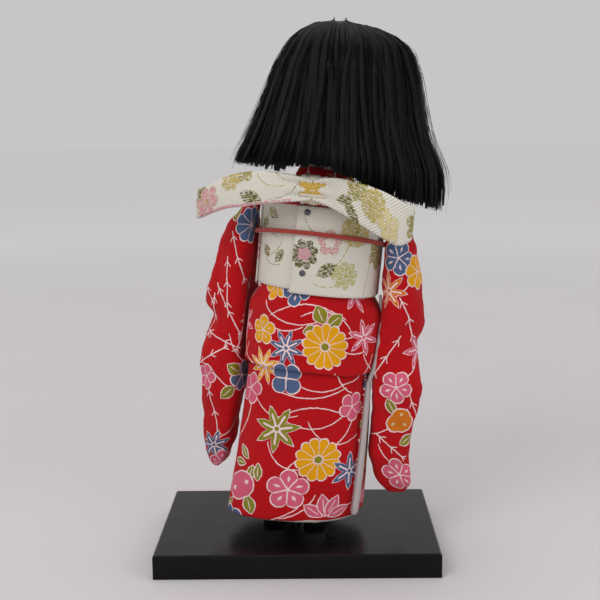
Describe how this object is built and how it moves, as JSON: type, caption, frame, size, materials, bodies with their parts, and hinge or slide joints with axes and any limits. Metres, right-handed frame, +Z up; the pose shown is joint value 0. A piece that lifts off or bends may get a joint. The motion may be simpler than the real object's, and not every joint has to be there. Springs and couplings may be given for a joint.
{
  "type": "dressed festival doll",
  "caption": "Standing girl doll in a red flower-print kimono with a tied ivory sash, bobbed black hair and a black board stand.",
  "frame": {"origin": "middle of the board's underside", "axes": "+Z up; the doll faces -Y, turned a little on its post; +X is the doll's left"},
  "size_m": [0.1542, 0.1, 0.2841],
  "materials": {
    "lacquer": "black lacquer, half gloss",
    "steel": "drawn wire and rod",
    "tabi": "white cotton",
    "sandal": "black lacquer",
    "wood": "bare",
    "padding": "cotton wadding",
    "white_cloth": "plain weave",
    "print": "red cotton printed with flowers, maple leaves and twigs",
    "crepe": "white crepe round wadding",
    "brocade": "ivory twill brocade with gold flowers",
    "gold_brocade": "ivory twill brocade with a gold band",
    "red_cloth": "thin silk",
    "red_cord": "braided silk",
    "pins": "dull",
    "skin": "shell-white paint, satin",
    "eye": "polished",
    "cap": "net",
    "hair": "straight silk strands, satin"
  },
  "bodies": {
    "base": {"base_board": "lacquer", "support_post": "steel"},
    "figure": {"foot_left": "tabi", "foot_right": "tabi", "sandal_left": "sandal", "sandal_right": "sandal", "leg_left": "wood", "leg_right": "wood", "torso_core": "wood", "body_padding": "padding", "under_robe": "white_cloth", "kimono_skirt": "print", "front_panel": "print", "hem_piping": "crepe", "edge_piping": "crepe", "waist_fold": "print", "bodice": "print", "under_collar": "white_cloth", "collar": "print", "obi_inner": "brocade", "obi_outer": "brocade", "obi_scarf": "red_cloth", "obi_cord": "red_cord", "obi_cord_knot": "red_cord", "obi_pins": "pins", "bow_knot": "gold_brocade", "bow_wing_left": "brocade", "bow_wing_right": "brocade"},
    "head": {"neck_peg": "wood", "head": "skin", "eye_left": "eye", "eye_right": "eye", "wig_cap": "cap", "hair_back": "hair", "hair_side_left": "hair", "hair_side_right": "hair", "hair_fringe": "hair"},
    "arm_left": {"shoulder_pin_left": "steel", "arm_left": "padding", "hand_left": "skin", "sleeve_left": "print"},
    "arm_right": {"shoulder_pin_right": "steel", "arm_right": "padding", "hand_right": "skin", "sleeve_right": "print"}
  },
  "joints": [
    {"name": "figure_turn", "type": "hinge", "parent": "base", "child": "figure", "pos_m": [0.001, 0, 0.013], "axis": [0, 0, 1], "continuous": true},
    {"name": "head_turn", "type": "hinge", "parent": "figure", "child": "head", "pos_m": [-0.01683, 0, 0.19814], "axis": [-0.0958, 0, 0.9954], "range_deg": [-12, 12]},
    {"name": "arm_left_swing", "type": "hinge", "parent": "figure", "child": "arm_left", "pos_m": [-0.01644, 0, 0.19416], "axis": [-0.9736, 0.2079, -0.0938], "range_deg": [-8, 24]},
    {"name": "arm_right_swing", "type": "hinge", "parent": "figure", "child": "arm_right", "pos_m": [-0.01644, 0, 0.19416], "axis": [-0.9736, 0.2079, -0.0938], "range_deg": [-8, 24]}
  ]
}
